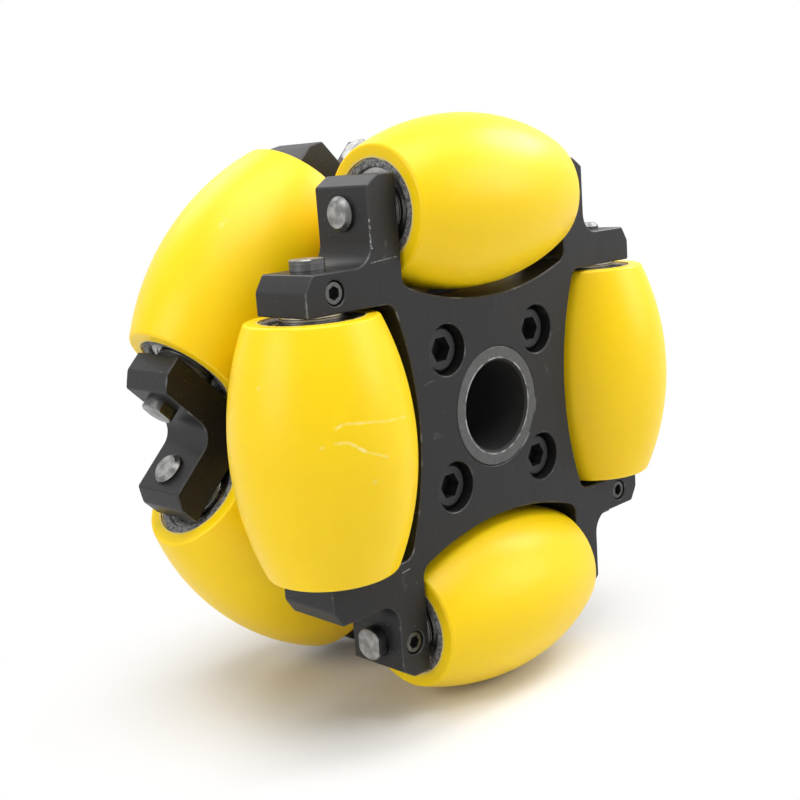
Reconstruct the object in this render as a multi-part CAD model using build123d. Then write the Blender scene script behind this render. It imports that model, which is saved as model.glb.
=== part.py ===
from build123d import *
from math import cos, hypot, radians, sin, sqrt, tan
import os

# Double-row omni wheel. Two milled aluminium discs stand back to back on a steel sleeve, and
# each holds four polyurethane barrel rollers on pins between its ears. The rear disc is the
# front one turned round and set half a roller further on, so the rollers close the circle.
# Millimetres. The origin is the wheel's centre, the wheel turns about Y and +Z is up. The
# front disc is on the -Y side, and angles run clockwise from the top as seen from there.

# Wheel and rows
wheel_d = 127.0  # over the rollers
row_rollers = 4
row_gap = 0.5  # between the planes that the two rows' treads reach
row_overlap = 1.3  # degrees of the wheel's circle by which a roller runs past its share

# Roller: polyurethane tread moulded on a metal core
tread_edge = 0.8  # rounding between barrel and end face
core_wall = 2.0  # round the bearings
core_inset = 0.4  # from the tread's end in to the core's end
core_step = 1.5  # shoulder behind a bearing's outer ring
core_lead = 0.3  # chamfer at the mouth of the bearing seat

# Ball bearing, one at each end of a core
bearing_d = 17.0
bearing_w = 5.0
outer_ring_t = 1.3
inner_ring_t = 1.5
shield_t = 0.3
shield_inset = 0.3
shield_gap = 0.05  # running clearance round the inner ring

# Pin through the ears, with two flats at the end that its set screw holds
axle_d = 7.0
flat_depth = 0.45
plain_stand_out = 1.5
plain_chamfer = 0.8
screwed_stand_out = 2.5
screwed_chamfer = 0.2

# Shim washers between ear and bearing
shim_d = 13.0
shim_t = 0.5
shims_per_end = 4

# Disc: turned blank, milled to its outline and deburred
disc_t = 15.0
rim_below_tread = 2.7
edge_break = 0.25
ear_t = 8.0
ear_clearance = 0.97  # between an ear and the tread's end
tip_below_rim = 8.65  # from the turned rim in to the ears' flat tips
pocket_gap_mid = 1.5  # from the disc to the tread, at the roller's middle
pocket_gap_end = 2.0  # the same, at the roller's ends
pocket_web = 2.8  # from an ear's line out to where the next roller's pocket starts
pocket_fillet = 3.0
notch_fillet = 4.5

# Sleeve through both discs
sleeve_wall = 3.3
bore_chamfer = 0.5
sleeve_edge = 0.25

# Clamp screws, M6 socket head, through the front disc into the rear one
clamp_d = 6.0
clamp_thread_in = 6.5  # length in the rear disc
clamp_below_pocket = 3.5  # from the pockets' lowest line in to the screws' circle
clamp_to_sleeve = 2.2  # wall between counterbore and sleeve
clamp_head_d = 10.0
clamp_head_h = 6.0
clamp_head_edge = 0.7
clamp_hex = 5.0
clamp_hex_depth = 3.2
clamp_below_face = 2.0
clamp_hole_d = 6.6
counterbore_d = 11.0
tapped_spare = 2.0  # from the screw's end to the end of its tapped hole

# Set screws, M5 flat point, one to each pin
grub_d = 5.0
grub_len = 4.0
grub_hex = 2.5
grub_hex_depth = 2.0
grub_edge = 0.4

# Radial clearance of what is pressed, bonded or screwed together
seat_gap = 0.01

# Sizes and places that follow from those above. The barrels' outlines make up the wheel's
# circle, so each roller is as long as its share of it, and as thick as the pockets have room.
step = 360.0 / row_rollers
roller_len = wheel_d * sin(radians(step / 4 + row_overlap))
ear_in = roller_len / 2 + ear_clearance
barrel_drop = wheel_d - sqrt(wheel_d**2 - roller_len**2)
roller_d = (wheel_d + barrel_drop) / 2 - pocket_gap_end - ear_in - pocket_web
roller_end_d = roller_d - barrel_drop
core_d = bearing_d + 2 * core_wall
core_bore = bearing_d - 2 * core_step
axle_r = (wheel_d - roller_d) / 2
row_y = (roller_d + row_gap) / 2
face_y = row_y + disc_t / 2
disc_d = wheel_d - 2 * rim_below_tread
tip_r = disc_d / 2 - tip_below_rim
boss_d = wheel_d - 2 * roller_d
ear_out = ear_in + ear_t
ear_mid = ear_in + ear_t / 2
roller_half = roller_len / 2
core_half = roller_half - core_inset
bearing_out = ear_in - shims_per_end * shim_t
bearing_in = bearing_out - bearing_w
pocket_r = axle_r - roller_d / 2 - pocket_gap_mid
clamp_r = pocket_r - clamp_below_pocket
clamp_seat_depth = clamp_below_face + clamp_head_h
clamp_len = face_y - clamp_seat_depth + clamp_thread_in
sleeve_d = 2 * (clamp_r - counterbore_d / 2 - clamp_to_sleeve)
bore_d = sleeve_d - 2 * sleeve_wall
clear = disc_d  # long enough to pass right out of a disc


def turned(axis, *outline):
    """Solid of revolution about X or Y, from the closed outline of a half section."""
    return revolve(make_face(Polyline(*outline, close=True)), axis)


def ring(r_in, r_out, x0, x1):
    """Plain ring on the X axis."""
    return turned(Axis.X, (x0, r_in), (x1, r_in), (x1, r_out), (x0, r_out))


def both_ends(solid):
    """A piece at the +X end of a roller, and its mirror image at the other end."""
    return [solid, mirror(solid, Plane.YZ)]


def tread():
    """Barrel with an arc for its outline, bored for the core."""
    r_in = core_d / 2 + seat_gap
    r_end = roller_end_d / 2
    barrel = ThreePointArc((-roller_half, r_end), (0, roller_d / 2), (roller_half, r_end))
    right = (roller_half, r_in)
    left = (-roller_half, r_in)
    bore = Polyline((roller_half, r_end), right, left, (-roller_half, r_end))
    body = revolve(make_face(barrel + bore), Axis.X)
    rims = body.edges().filter_by(GeomType.CIRCLE).group_by(SortBy.RADIUS)[1]
    return fillet(rims, tread_edge)


def core():
    """Tube that carries the tread, with a bearing seat at each end."""
    seat_r = bearing_d / 2 + seat_gap
    seat = turned(
        Axis.X,
        (bearing_in, 0),
        (bearing_in, seat_r),
        (core_half - core_lead, seat_r),
        (core_half, seat_r + core_lead),
        (core_half, 0),
    )
    return ring(core_bore / 2, core_d / 2, -core_half, core_half) - both_ends(seat)


def bearing_outer_rings():
    """Outer rings of a roller's two bearings, each with its two pressed-in shields."""
    race_r = bearing_d / 2 - outer_ring_t
    shield_r = axle_d / 2 + inner_ring_t + shield_gap
    outer_ring = ring(race_r, bearing_d / 2, bearing_in, bearing_out)
    for shield_x in (bearing_in + shield_inset, bearing_out - shield_inset - shield_t):
        outer_ring += ring(shield_r, race_r, shield_x, shield_x + shield_t)
    return both_ends(outer_ring)


def bearing_inner_rings():
    """Inner rings of a roller's two bearings, clamped on the pin."""
    r_in = axle_d / 2 + seat_gap
    return both_ends(ring(r_in, axle_d / 2 + inner_ring_t, bearing_in, bearing_out))


def axle():
    """Pin of one roller, with its plain end at -X and its flatted end at +X."""
    x0 = -ear_out - plain_stand_out
    x1 = ear_out + screwed_stand_out
    r = axle_d / 2
    pin = turned(
        Axis.X,
        (x0, 0),
        (x0, r - plain_chamfer),
        (x0 + plain_chamfer, r),
        (x1 - screwed_chamfer, r),
        (x1, r - screwed_chamfer),
        (x1, 0),
    )
    waste = Box(x1 - ear_in, axle_d, axle_d, align=(Align.MIN, Align.MIN, Align.CENTER))
    waste = Pos(ear_in, r - flat_depth, 0) * waste
    return pin - [waste, mirror(waste, Plane.XZ)]


def shims():
    """Shim washers of one roller, stacked from the ears inwards."""
    washers = []
    for n in range(shims_per_end):
        x1 = ear_in - n * shim_t
        washers += both_ends(ring(axle_d / 2 + seat_gap, shim_d / 2, x1 - shim_t, x1))
    return washers


def socket(across, depth, mouth_y):
    """Hexagon socket open towards -Y, with flats at top and bottom."""
    hexagon = RegularPolygon(across / 2, 6, major_radius=False)
    return extrude(Plane.XZ.offset(-mouth_y) * hexagon, -depth)


def clamp_screw():
    """Socket-head screw on the Y axis, with its head in the front disc's counterbore."""
    top = clamp_below_face - face_y
    seat = clamp_seat_depth - face_y
    head_r = clamp_head_d / 2
    body = turned(
        Axis.Y,
        (0, top),
        (head_r - clamp_head_edge, top),
        (head_r, top + clamp_head_edge),
        (head_r, seat),
        (clamp_d / 2, seat),
        (clamp_d / 2, seat + clamp_len),
        (0, seat + clamp_len),
    )
    return body - socket(clamp_hex, clamp_hex_depth, top)


def set_screw():
    """Socket set screw whose flat point bears on the top roller's pin."""
    point = flat_depth - axle_d / 2 - row_y
    top = point - grub_len
    r = grub_d / 2
    body = turned(
        Axis.Y,
        (0, top),
        (r - grub_edge, top),
        (r, top + grub_edge),
        (r, point - grub_edge),
        (r - grub_edge, point),
        (0, point),
    )
    return Pos(ear_mid, 0, axle_r) * (body - socket(grub_hex, grub_hex_depth, top))


def pocket():
    """Outline of the room round the top roller: a shallow arc below and an ear at each side."""
    upwards = (Align.CENTER, Align.MIN)
    rise = axle_r - roller_end_d / 2 - pocket_gap_end - pocket_r
    bed_r = (roller_half**2 + rise**2) / (2 * rise)
    column = Rectangle(2 * ear_in, clear, align=upwards)
    over_bed = Pos(0, pocket_r + bed_r) * (Circle(bed_r) + column)
    room = Pos(0, pocket_r) * column & over_bed
    corners = room.vertices().filter_by_position(Axis.Y, pocket_r, axle_r)
    return fillet(corners, pocket_fillet) + Pos(0, tip_r) * Rectangle(2 * ear_out, clear, align=upwards)


def notch():
    """Outline of the opening between the top roller's right ear and the next roller's ear."""
    apex = Vector(ear_out, ear_out / tan(radians(step / 2)))
    this_way = Vector(0, clear)
    next_way = Vector(sin(radians(step)), cos(radians(step))) * clear
    far = apex + this_way + next_way
    room = make_face(Polyline(apex, apex + this_way, far, apex + next_way, close=True))
    return fillet(room.vertices().sort_by_distance(apex)[0], notch_fillet)


def outline():
    """Outline of a disc's plate, with the corners of its ears deburred."""
    rooms = [Rot(0, 0, n * step) * room for n in range(row_rollers) for room in (pocket(), notch())]
    flat = Circle(disc_d / 2) - rooms
    tips_r = hypot(ear_in, tip_r) - edge_break
    corners = flat.vertices().filter_by(lambda corner: hypot(corner.X, corner.Y) > tips_r)
    return chamfer(corners, edge_break)


def hole(diameter, depth):
    """Cutter for a hole from the front disc's outer face, at its centre, with a deburred mouth."""
    r = diameter / 2
    return turned(
        Axis.Y,
        (0, -face_y),
        (r + edge_break, -face_y),
        (r, edge_break - face_y),
        (r, depth - face_y),
        (0, depth - face_y),
    )


def milled_disc(clamp_holes):
    """Disc with all its bores: a plate of that outline, and the boss behind it."""
    plate = extrude(Plane.XZ.offset(face_y) * outline(), -disc_t)
    rims = [edge for face in plate.faces().filter_by(Plane.XZ) for edge in face.edges()]
    boss_back = disc_t - face_y - edge_break
    boss = turned(
        Axis.Y,
        (0, boss_back),
        (boss_d / 2, boss_back),
        (boss_d / 2, -edge_break),
        (boss_d / 2 - edge_break, 0),
        (0, 0),
    )
    body = chamfer(rims, edge_break) + boss - hole(sleeve_d + 2 * seat_gap, face_y) - clamp_holes
    pin_hole = extrude(Plane.YZ * Circle(axle_d / 2 + seat_gap), ear_out + screwed_stand_out, both=True)
    set_screw_hole = hole(grub_d + 2 * seat_gap, disc_t / 2)
    for n in range(row_rollers):
        body -= Rot(0, n * step, 0) * Pos(0, -row_y, axle_r) * pin_hole
        body -= Rot(0, n * step, 0) * Pos(ear_mid, 0, axle_r) * set_screw_hole
    return body


def clamp_places(first_angle):
    """Places of the clamp screws, which all stand the same way up."""
    angles = [radians(first_angle + n * step) for n in range(row_rollers)]
    return [Pos(clamp_r * sin(angle), 0, clamp_r * cos(angle)) for angle in angles]


def front_disc():
    """Milled disc with counterbored holes for the clamp screws, between its pockets."""
    screw_room = hole(clamp_hole_d, face_y) + hole(counterbore_d, clamp_seat_depth)
    return milled_disc([place * screw_room for place in clamp_places(step / 2)])


def rear_disc():
    """The same disc turned round, with tapped holes for the clamp screws behind its pockets."""
    depth = clamp_thread_in + tapped_spare
    tapped = extrude(Plane.XZ * Circle(clamp_d / 2 + seat_gap), depth)
    return row_place("rear", 0) * milled_disc([place * tapped for place in clamp_places(0)])


def hub_sleeve():
    """Steel sleeve, flush with both discs' outer faces."""
    r_in = bore_d / 2
    r_out = sleeve_d / 2
    return turned(
        Axis.Y,
        (r_in, bore_chamfer - face_y),
        (r_in + bore_chamfer, -face_y),
        (r_out - sleeve_edge, -face_y),
        (r_out, sleeve_edge - face_y),
        (r_out, face_y - sleeve_edge),
        (r_out - sleeve_edge, face_y),
        (r_in + bore_chamfer, face_y),
        (r_in, face_y - bore_chamfer),
    )


def row_place(row, n):
    """Place of roller n of a row, for what is drawn at the front row's top roller."""
    if row == "front":
        return Rot(0, n * step, 0)
    return Rot(0, (n + 0.5) * step, 0) * Rot(0, 0, 180)


def write(node, solids):
    """Write one node's solids to a file of its own."""
    export_step(Compound(label=node, children=solids), f"parts/{node}.step")


os.makedirs("parts", exist_ok=True)
write("front_disc", [front_disc()])
write("rear_disc", [rear_disc()])
write("hub_sleeve", [hub_sleeve()])
write("clamp_screws", [place * clamp_screw() for place in clamp_places(step / 2)])

on_pin = Pos(0, -row_y, axle_r)
one_roller = {
    "tread": [tread()],
    "core": [core()],
    "bearing_outer_rings": bearing_outer_rings(),
    "bearing_inner_rings": bearing_inner_rings(),
    "axle": [axle()],
}
for row in ("front", "rear"):
    places = [row_place(row, n) for n in range(row_rollers)]
    write(f"{row}_set_screws", [place * set_screw() for place in places])
    write(f"{row}_shim_washers", [place * on_pin * washer for place in places for washer in shims()])
    for name, solids in one_roller.items():
        for n, place in enumerate(places, start=1):
            write(f"{row}_{name}_{n}", [place * on_pin * solid for solid in solids])
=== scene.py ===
from math import pi, radians

import bpy
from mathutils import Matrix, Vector


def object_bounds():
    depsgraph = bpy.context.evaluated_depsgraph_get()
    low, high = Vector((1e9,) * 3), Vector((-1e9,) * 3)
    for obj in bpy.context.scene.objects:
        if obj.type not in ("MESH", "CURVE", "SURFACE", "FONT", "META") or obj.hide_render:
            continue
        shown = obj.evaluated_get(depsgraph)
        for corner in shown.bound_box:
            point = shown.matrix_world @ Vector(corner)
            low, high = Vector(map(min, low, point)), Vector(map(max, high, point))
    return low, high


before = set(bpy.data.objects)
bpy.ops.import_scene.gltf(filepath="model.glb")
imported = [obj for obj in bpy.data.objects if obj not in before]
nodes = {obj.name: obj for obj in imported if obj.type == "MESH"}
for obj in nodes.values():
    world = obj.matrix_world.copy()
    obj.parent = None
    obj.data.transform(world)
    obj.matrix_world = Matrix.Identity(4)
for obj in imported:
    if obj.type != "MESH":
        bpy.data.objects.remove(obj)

packed_box = [list(corner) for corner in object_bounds()]
bpy.ops.object.select_all(action="DESELECT")

# Camera: close to the wheel's front, a little above it and to its left, slightly rolled.
bpy.ops.object.camera_add(location=(-0.19164, -0.19146, 0.05362))
camera = bpy.context.object
camera.name = "camera"
camera.rotation_euler = (radians(78.588), radians(4.243), radians(-45.299))
camera.data.lens = 52.72
camera.data.sensor_width = 36
bpy.context.scene.camera = camera


class Value:
    """A number or vector in a finish, on which Python's operators add Math nodes."""

    def __init__(self, finish, socket):
        self.finish = finish
        self.socket = socket

    def maths(self, operation, first, second=0.0):
        return self.finish.maths_of(operation, first, second)

    def __add__(self, other):
        return self.maths("ADD", self, other)

    def __radd__(self, other):
        return self.maths("ADD", other, self)

    def __sub__(self, other):
        return self.maths("SUBTRACT", self, other)

    def __rsub__(self, other):
        return self.maths("SUBTRACT", other, self)

    def __mul__(self, other):
        return self.maths("MULTIPLY", self, other)

    def __rmul__(self, other):
        return self.maths("MULTIPLY", other, self)

    def __mod__(self, other):
        return self.maths("FLOORED_MODULO", self, other)

    def __abs__(self):
        return self.maths("ABSOLUTE", self)


class Finish:
    """A material's nodes: what varies over a surface, gathered in one Principled shader."""

    def __init__(self, name, **constants):
        self.material = bpy.data.materials.new(name)
        self.material.use_nodes = True
        self.tree = self.material.node_tree
        self.tree.nodes.clear()
        self.output = self.tree.nodes.new("ShaderNodeOutputMaterial")
        self.shader = self.tree.nodes.new("ShaderNodeBsdfPrincipled")
        self.tree.links.new(self.shader.outputs[0], self.output.inputs["Surface"])
        for socket, value in constants.items():
            self.shader.inputs[socket.replace("_", " ")].default_value = value
        self.place = self.node("TexCoord", {}, output="Object")
        self.normal = self.node("TexCoord", {}, output="Normal")

    def node(self, kind, sockets, output=0, **settings):
        made = self.tree.nodes.new("ShaderNode" + kind)
        for setting, value in settings.items():
            setattr(made, setting, value)
        for socket, value in sockets.items():
            if isinstance(value, Value):
                self.tree.links.new(value.socket, made.inputs[socket])
            else:
                made.inputs[socket].default_value = value
        return Value(self, made.outputs[output])

    def maths_of(self, operation, first, second=0.0):
        return self.node("Math", {0: first, 1: second}, operation=operation)

    def step(self, value, low, high):
        """0 below low, 1 above high, smooth between."""
        return self.node("MapRange", {0: value, 1: low, 2: high}, interpolation_type="SMOOTHSTEP")

    def part(self, vector, axis):
        return self.node("SeparateXYZ", {0: vector}, output=axis)

    def noise(self, scale, detail=2.0, stretch=(1, 1, 1)):
        where = self.node("Mapping", {"Vector": self.place, "Scale": stretch})
        return self.node("TexNoise", {"Vector": where, "Scale": scale, "Detail": detail}, output="Fac")

    def mix(self, share, first, second):
        return self.node("Mix", {0: share, 6: first, 7: second}, output=2, data_type="RGBA")

    def stroke(self, start, end, width):
        """1 along a straight scratch from start to end, fading out over its width."""
        run = Vector(end) - Vector(start)
        from_start = self.node("VectorMath", {0: self.place, 1: start}, operation="SUBTRACT")
        along = {0: from_start, 1: run / run.length_squared}
        share = self.node("VectorMath", along, output="Value", operation="DOT_PRODUCT")
        share = self.node("Clamp", {"Value": share})
        nearest = self.node("VectorMath", {0: tuple(run), "Scale": share}, operation="SCALE")
        away = self.node("VectorMath", {0: from_start, 1: nearest}, output="Value", operation="DISTANCE")
        return 1 - self.step(away, width * 0.3, width)

    def line(self, width, *points):
        """A scratch through several points."""
        mark = self.stroke(points[0], points[1], width)
        for start, end in zip(points[1:], points[2:]):
            mark = self.maths_of("MAXIMUM", mark, self.stroke(start, end, width))
        return mark

    def feed(self, socket, value):
        self.tree.links.new(value.socket, self.shader.inputs[socket])

    def bump(self, height, depth, strength=1.0):
        self.feed("Normal", self.node("Bump", {"Height": height, "Distance": depth, "Strength": strength}))

    def put_on(self, *objects):
        for piece in objects:
            piece.data.materials.clear()
            piece.data.materials.append(self.material)


# Discs: black anodised aluminium, turned and milled. The flat faces keep fine lines from the
# cutter and the milled walls its marks through the thickness. The coating has worn or chipped
# off in specks, along the edges, and in a few scratches on the front face.
anodised = Finish("black_anodised", IOR=1.4, Specular_IOR_Level=0.42)
mottle = anodised.noise(55, 4)
wall_marks = anodised.noise(1300, 2, stretch=(1, 0.03, 1))
face_marks = anodised.noise(800, 3, stretch=(1, 1, 0.03))
slope = abs(anodised.part(anodised.normal, "Y"))
flat = anodised.step(slope, 0.95, 0.99)
deburred = anodised.step(slope, 0.45, 0.62) * (1 - anodised.step(slope, 0.8, 0.92))
bare = deburred * anodised.step(anodised.noise(260, 3), 0.54, 0.68)
specks = anodised.step(anodised.noise(2300, 1), 0.75, 0.79)
broken = anodised.step(anodised.noise(2600), 0.3, 0.55)
chips = anodised.step(anodised.noise(1100), 0.4, 0.6)


def on_face(width, *points):
    """A mark on the front face, through points given by X and Z."""
    face_y = -0.0265
    return anodised.line(width, *[(x, face_y, z) for x, z in points])


scratched = on_face(0.00016, (-0.0348, 0.0352), (-0.0313, 0.0355), (-0.0278, 0.0357))
chipped = anodised.line(
    0.0002, (-0.0344, -0.0264, 0.0435), (-0.0345, -0.0264, 0.0386), (-0.0343, -0.0265, 0.0379)
)
dented = on_face(0.00018, (-0.0329, -0.0287), (-0.0307, -0.0284))
scuffed = on_face(0.00016, (-0.0225, 0.0086), (-0.0211, 0.0091), (-0.0196, 0.0092))
rubbed = on_face(0.0008, (-0.0326, -0.0287), (-0.0326, -0.0324))
rubbed += on_face(0.0007, (-0.0305, 0.0387), (-0.0313, 0.0352))
rubbed += on_face(0.001, (0.0179, 0.0057), (0.0185, 0.004))
rubbed += on_face(0.001, (-0.0211, -0.0025), (-0.0186, -0.0024))
shade = anodised.mix(mottle, (0.009, 0.0088, 0.0094, 1), (0.015, 0.0147, 0.0158, 1))
shade = anodised.mix(deburred * 0.09 + bare * 0.35, shade, (0.35, 0.35, 0.36, 1))
worn = specks * 0.4 + (scratched + scuffed * 0.4) * broken * 0.4 + rubbed * chips * 0.05
shade = anodised.mix(worn, shade, (0.5, 0.5, 0.5, 1))
shade = anodised.mix((chipped * chips * 0.8 + dented * 0.35) * broken, shade, (0.75, 0.75, 0.75, 1))
anodised.feed("Base Color", shade)
anodised.feed("Metallic", deburred * 0.15 + bare * 0.55)
anodised.feed("Roughness", 0.37 + mottle * 0.14 + flat * (face_marks - 0.5) * 0.3)
anodised.bump(wall_marks * (1 - flat) + face_marks * flat - scratched, 0.00002, 0.4)
anodised.put_on(nodes["front_disc"], nodes["rear_disc"])

# Sleeve: dark steel tube through both discs, turned and faced, with a pale burr round its
# bore. Painted shade darkens the bore and its chamfered mouth, and the outer edge is darker too.
sleeve = Finish("dark_turned_steel", Metallic=0.9)
turning = sleeve.noise(1500, 2, stretch=(0.02, 1, 0.02))
grain = sleeve.noise(1600, 2)
across = sleeve.node("VectorMath", {0: sleeve.place, 1: (1, 0, 1)}, operation="MULTIPLY")
radius = sleeve.node("VectorMath", {0: across}, output="Value", operation="LENGTH")
burr = 1 - sleeve.step(abs(radius - 0.01062), 0.00012, 0.0003)
burr = burr * sleeve.step(sleeve.noise(500, 3), 0.35, 0.6)
bore_with_painted_shade = 1 - sleeve.step(radius, 0.01044, 0.01052)
outer_edge = sleeve.step(radius, 0.01302, 0.01312)
tone = sleeve.mix(grain, (0.065, 0.065, 0.065, 1), (0.15, 0.15, 0.15, 1))
tone = sleeve.mix(burr * 0.6, tone, (0.5, 0.5, 0.5, 1))
# Painted shade: the bore and its chamfered mouth are mixed to near black, together with the darker outer
# edge.
sleeve.feed("Base Color", sleeve.mix(bore_with_painted_shade + outer_edge, tone, (0.045, 0.045, 0.045, 1)))
sleeve.feed("Roughness", 0.34 + turning * 0.2 + bore_with_painted_shade * 0.3)
sleeve.bump(turning + grain, 0.00002, 0.4)
sleeve.put_on(nodes["hub_sleeve"])

# Screws: black-oxide steel, rolled and upset, slightly rough.
oxide = Finish("black_oxide", Metallic=0.4)
mottle = oxide.noise(700, 3)
oxide.feed("Base Color", oxide.mix(mottle, (0.012, 0.012, 0.013, 1), (0.035, 0.035, 0.037, 1)))
oxide.feed("Roughness", 0.34 + oxide.noise(1200, 2) * 0.25)
oxide.bump(oxide.noise(1800, 2), 0.00003, 0.4)
oxide.put_on(nodes["clamp_screws"])

# Set screws: harder steel with a thinner, shinier oxide.
grub = Finish("thin_oxide", Metallic=0.9)
grub.feed("Base Color", grub.mix(grub.noise(900, 3), (0.04, 0.04, 0.04, 1), (0.16, 0.16, 0.157, 1)))
grub.feed("Roughness", 0.25 + grub.noise(1200, 2) * 0.2)
grub.bump(grub.noise(2400, 2), 0.00004, 0.5)
grub.put_on(nodes["front_set_screws"], nodes["rear_set_screws"])

# Rollers: what differs from roller to roller is drawn in a roller's own frame, which has X
# along its pin.
def in_roller_frame(finish, row, n):
    """Sets a finish's coordinates to the frame of one roller, and gives its radius there."""
    turn = (n - 1) * 90 if row == "front" else (n - 0.5) * 90
    row_y = -0.019 if row == "front" else 0.019
    pin_to_axis = 0.04475
    unturn = {"Rotation": (0, radians(-turn), 0)}
    to_pin = {"Location": (0, -row_y, -pin_to_axis)}
    finish.place = finish.node("Mapping", {"Vector": finish.place, **unturn, **to_pin})
    finish.normal = finish.node("Mapping", {"Vector": finish.normal, **unturn})
    radial = finish.node("VectorMath", {0: finish.place, 1: (0, 1, 1)}, operation="MULTIPLY")
    return finish.node("VectorMath", {0: radial}, output="Value", operation="LENGTH")


# Pins: hardened steel, dark on the sides and the flats, and faced on the lathe to pale ends.
for row in ("front", "rear"):
    for n in range(1, 5):
        pin = Finish(f"hardened_pin_{row}_{n}", Metallic=0.9)
        radius = in_roller_frame(pin, row, n)
        smear = pin.noise(420, 4)
        rings = {"W": radius, "Scale": 4500, "Detail": 1}
        facing_marks = pin.node("TexNoise", rings, output="Fac", noise_dimensions="1D")
        end_face = pin.step(abs(pin.part(pin.normal, "X")), 0.6, 0.8)
        rings = {"W": pin.part(pin.place, "X"), "Scale": 2600, "Detail": 1}
        turning_marks = pin.node("TexNoise", rings, output="Fac", noise_dimensions="1D")
        side = pin.mix(smear * 0.4 + turning_marks * 0.6, (0.006, 0.006, 0.006, 1), (0.18, 0.18, 0.177, 1))
        patches = pin.step(smear, 0.35, 0.65) * 0.8 + facing_marks * 0.2
        end = pin.mix(patches, (0.15, 0.15, 0.147, 1), (0.38, 0.38, 0.37, 1))
        pin.feed("Base Color", pin.mix(end_face, side, end))
        pin.feed("Roughness", 0.28 + pin.noise(900, 3) * 0.25)
        pin.bump(pin.noise(2200, 2) + facing_marks * end_face + turning_marks, 0.00004, 0.6)
        pin.put_on(nodes[f"{row}_axle_{n}"])

# Shim washers: blanked from rolled steel and stacked between ear and bearing, dark with grease
# in the joints between them.
for row in ("front", "rear"):
    washer = Finish(f"rolled_washers_{row}", Metallic=1.0)
    if row == "rear":
        washer.place = washer.node("Mapping", {"Vector": washer.place, "Rotation": (0, pi / 4, 0)})
    across, up = abs(washer.part(washer.place, "X")), abs(washer.part(washer.place, "Z"))
    first_joint = 0.026595
    thickness = 0.0005
    along = washer.maths_of("MINIMUM", across, up) - first_joint
    joint = washer.step(abs(along % thickness - thickness / 2), 0.00012, 0.0002)
    steel = washer.mix(washer.noise(500, 3), (0.3, 0.3, 0.29, 1), (0.6, 0.59, 0.57, 1))
    washer.feed("Base Color", washer.mix(joint * 0.95, steel, (0.02, 0.02, 0.02, 1)))
    washer.feed("Roughness", 0.22 + joint * 0.4)
    washer.put_on(nodes[f"{row}_shim_washers"])

# Bearings: ground rings and pressed shields of bright steel.
bright = Finish("bright_steel", Metallic=1.0)
bright.feed("Base Color", bright.mix(bright.noise(400, 3), (0.3, 0.3, 0.29, 1), (0.55, 0.54, 0.52, 1)))
bright.feed("Roughness", 0.2 + bright.noise(700, 3) * 0.2)
bright.bump(bright.noise(2500, 2), 0.00002, 0.3)
for row in ("front", "rear"):
    for n in range(1, 5):
        bright.put_on(nodes[f"{row}_bearing_outer_rings_{n}"], nodes[f"{row}_bearing_inner_rings_{n}"])

# Cores: rough dull metal, seen as a grey ring round each bearing, with the cast polyurethane
# creeping over its rim in places.
for row in ("front", "rear"):
    for n in range(1, 5):
        core = Finish(f"rough_core_{row}_{n}")
        radius = in_roller_frame(core, row, n)
        grains = core.noise(2200, 3)
        flash = core.step(radius + core.noise(420, 3) * 0.0016, 0.01105, 0.0112)
        metal = core.mix(core.step(grains, 0.34, 0.66), (0.07, 0.07, 0.07, 1), (0.32, 0.32, 0.325, 1))
        core.feed("Base Color", core.mix(flash, metal, (0.75, 0.6, 0.2, 1)))
        core.feed("Metallic", 0.4 - flash * 0.4)
        core.feed("Roughness", 0.5 + grains * 0.3)
        core.bump(grains, 0.0002, 0.6)
        core.put_on(nodes[f"{row}_core_{n}"])

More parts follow.
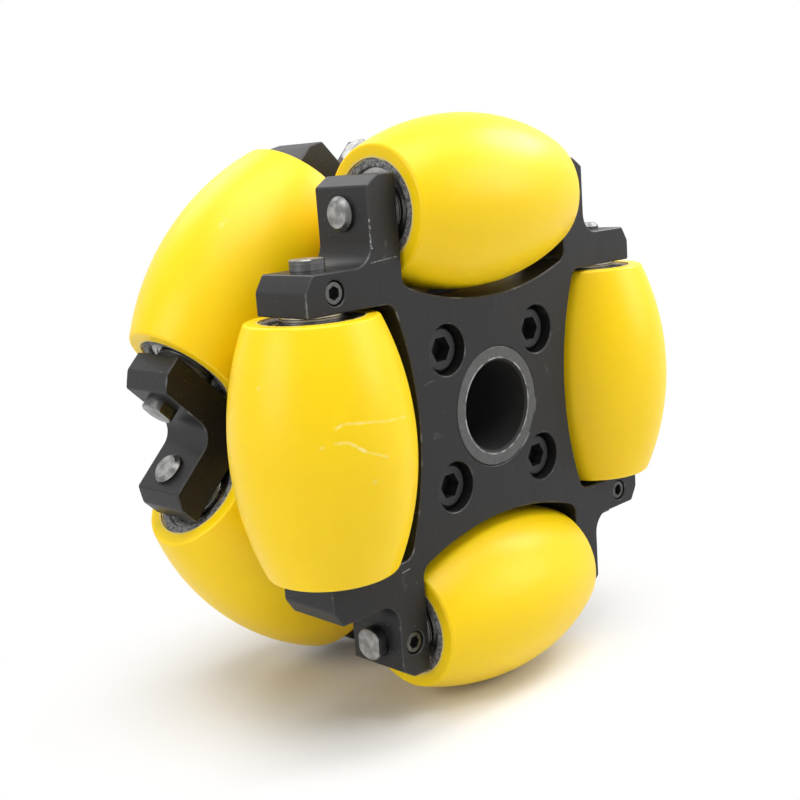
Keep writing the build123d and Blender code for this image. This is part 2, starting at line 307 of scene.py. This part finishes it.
# Treads: cast polyurethane, satin and slightly see-through, ground to its barrel shape and
# scuffed in use. The left front roller has two long scratches and some spots, and the upper
# left one of the rear row a scuff.
for row in ("front", "rear"):
    for n in range(1, 5):
        tread = Finish(
            f"yellow_polyurethane_{row}_{n}",
            Subsurface_Weight=0.22,
            Subsurface_Radius=(1.0, 0.45, 0.05),
            Subsurface_Scale=0.002,
            IOR=1.42,
            Specular_IOR_Level=0.4,
        )
        marks = tread.step(tread.noise(1900, 1), 0.76, 0.8) * 0.5
        if (row, n) == ("rear", 4):
            scuff = tread.line(0.0009, (-0.0427, 0.0098, 0.0436), (-0.0414, 0.0096, 0.0447))
            marks = marks + scuff * tread.step(tread.noise(1400, 3), 0.45, 0.6) * 0.5
        if (row, n) == ("front", 4):
            upper = tread.line(
                0.0004,
                (-0.05453, -0.03451, 0.00727),
                (-0.05337, -0.03508, 0.00793),
                (-0.04989, -0.03655, 0.00763),
                (-0.04415, -0.03736, 0.00689),
                (-0.03849, -0.03632, 0.00647),
            )
            lower = tread.line(
                0.0004,
                (-0.05513, -0.03441, 0.00462),
                (-0.05279, -0.03577, 0.00441),
                (-0.05148, -0.0364, 0.00343),
                (-0.04975, -0.03703, 0.00217),
                (-0.04523, -0.03774, 0.00031),
            )
            nick = tread.line(0.0005, (-0.0510, -0.0366, 0.0030), (-0.0500, -0.0370, 0.0023))
            spot = tread.line(0.0005, (-0.0571, -0.0329, 0.0040), (-0.0568, -0.0331, 0.0041))
            spot += tread.line(0.0006, (-0.0486, -0.0372, -0.0039), (-0.0483, -0.0373, -0.0038))
            spot += tread.line(0.0005, (-0.0615, -0.0217, 0.0150), (-0.0614, -0.0220, 0.0150))
            ragged = tread.step(tread.noise(900, 4), 0.2, 0.75)
            marked = (upper + lower) * ragged * 0.6 + nick * 0.5 + spot * 0.3
            marks = tread.maths_of("MAXIMUM", marks, marked)
        radius = in_roller_frame(tread, row, n)
        grinding = tread.noise(900, 2, stretch=(1, 0.04, 0.04))
        cut_rim = 1 - tread.step(radius + tread.noise(500, 2) * 0.0008, 0.0111, 0.0114)
        colour = tread.mix(tread.noise(40, 3), (0.92, 0.61, 0.002, 1), (0.96, 0.67, 0.003, 1))
        colour = tread.mix(cut_rim * 0.6, colour, (0.75, 0.62, 0.3, 1))
        tread.feed("Base Color", tread.mix(marks * 0.7, colour, (1.0, 0.88, 0.45, 1)))
        tread.feed("Roughness", 0.32 + tread.noise(130, 3) * 0.12 + marks * 0.2)
        tread.bump(grinding + tread.noise(420, 2) - marks * 2, 0.00004, 0.25)
        tread.put_on(nodes[f"{row}_tread_{n}"])

# Floor and backdrop: white paper. The camera, metal and gloss see it fade to pure white away
# from the wheel, so that only the shadow shows.
floor_z = packed_box[0][2] - 0.0001
bpy.ops.mesh.primitive_plane_add(size=8, location=(0, 0, floor_z))
floor = bpy.context.object
floor.name = "floor"
paper = Finish("white_paper", Roughness=0.95, Specular_IOR_Level=0.2)
seen = paper.node("LightPath", {}, output="Is Camera Ray")
seen = seen + paper.node("LightPath", {}, output="Is Glossy Ray")
seen = seen + paper.node("LightPath", {}, output="Is Transmission Ray")
paper.feed("Base Color", paper.mix(seen, (0.7, 0.7, 0.7, 1), (0.8, 0.8, 0.8, 1)))
away = paper.node("VectorMath", {0: paper.place, 1: (-0.012, 0.004, 0)}, output="Value", operation="DISTANCE")
glow = paper.node("Emission", {"Color": (1, 1, 1, 1), "Strength": 1.0})
faded = paper.node("MixShader", {0: paper.step(away, 0.025, 0.1) * seen})
paper.tree.links.new(paper.shader.outputs[0], faded.socket.node.inputs[1])
paper.tree.links.new(glow.socket, faded.socket.node.inputs[2])
paper.tree.links.new(faded.socket, paper.output.inputs["Surface"])
paper.put_on(floor)

# Light: a large soft box above, weaker ones behind, on the right and on the left, and a pale
# surround that the camera, metal and gloss see as white.
world = bpy.data.worlds.new("surround")
bpy.context.scene.world = world
world.use_nodes = True
sky = world.node_tree
path = sky.nodes.new("ShaderNodeLightPath")
background = sky.nodes["Background"]
background.inputs["Color"].default_value = (1, 1, 1, 1)
total = path.outputs["Is Camera Ray"]
for kind in ("Is Glossy Ray", "Is Transmission Ray"):
    plus = sky.nodes.new("ShaderNodeMath")
    sky.links.new(total, plus.inputs[0])
    sky.links.new(path.outputs[kind], plus.inputs[1])
    total = plus.outputs[0]
brighter = sky.nodes.new("ShaderNodeMapRange")
brighter.inputs["To Min"].default_value = 0.22
brighter.inputs["To Max"].default_value = 1.0
sky.links.new(total, brighter.inputs["Value"])
sky.links.new(brighter.outputs[0], background.inputs["Strength"])


def soft_box(name, place, size, watts):
    """A square lamp that points at the wheel."""
    bpy.ops.object.light_add(type="AREA", location=place)
    lamp = bpy.context.object
    lamp.name = name
    lamp.data.size = size
    lamp.data.energy = watts
    lamp.rotation_euler = (-Vector(place)).to_track_quat("-Z", "Y").to_euler()


soft_box("soft_box_top", (-0.08, -0.12, 0.68), 0.6, 4.9)
soft_box("soft_box_behind", (0.05, 0.55, 0.55), 0.35, 1.2)
soft_box("soft_box_high_right", (0.6, -0.12, 0.5), 0.3, 2.9)
soft_box("soft_box_left", (-0.8, 0.1, 0.3), 0.5, 2.8)
soft_box("soft_box_right", (0.5, -0.65, 0.35), 0.5, 2.9)

bpy.context.scene.view_settings.view_transform = "Standard"
